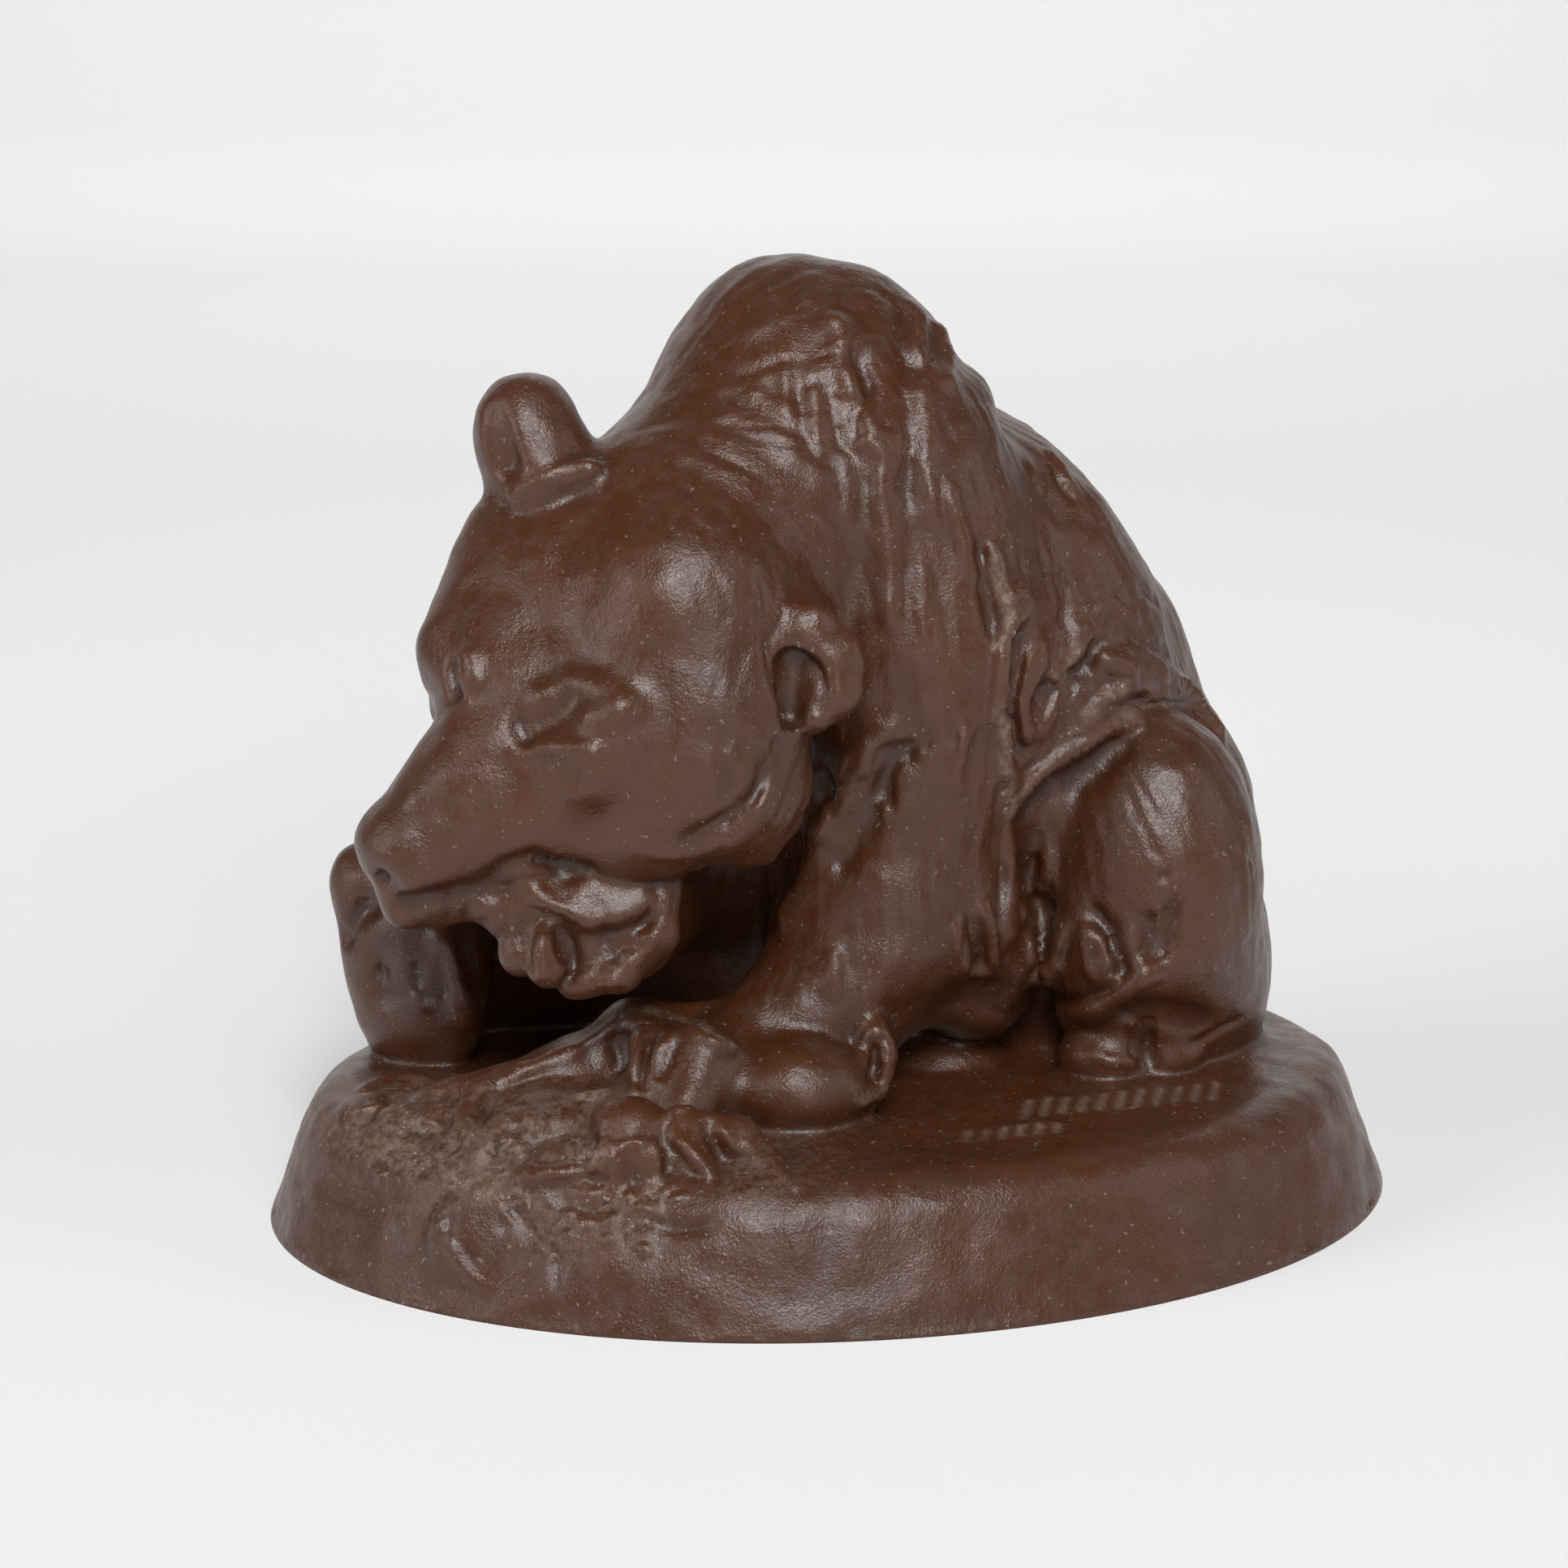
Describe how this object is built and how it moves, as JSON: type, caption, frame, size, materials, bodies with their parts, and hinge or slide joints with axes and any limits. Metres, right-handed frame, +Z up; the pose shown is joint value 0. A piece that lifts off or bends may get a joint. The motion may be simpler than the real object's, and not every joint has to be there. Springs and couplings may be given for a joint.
{
  "type": "stoneware bear figurine",
  "caption": "Stoneware figurine of a bear sitting hunched on an oval base and gnawing at its raised forepaw.",
  "frame": {"origin": "centre of the oval base on the table", "axes": "+X along the base's long axis, to the right as seen from the bear's left side; +Y away from the viewer; +Z up"},
  "size_m": [0.1446, 0.1084, 0.1186],
  "materials": {
    "stoneware": null
  },
  "bodies": {
    "root": {"bear_figurine": "stoneware"}
  },
  "joints": []
}
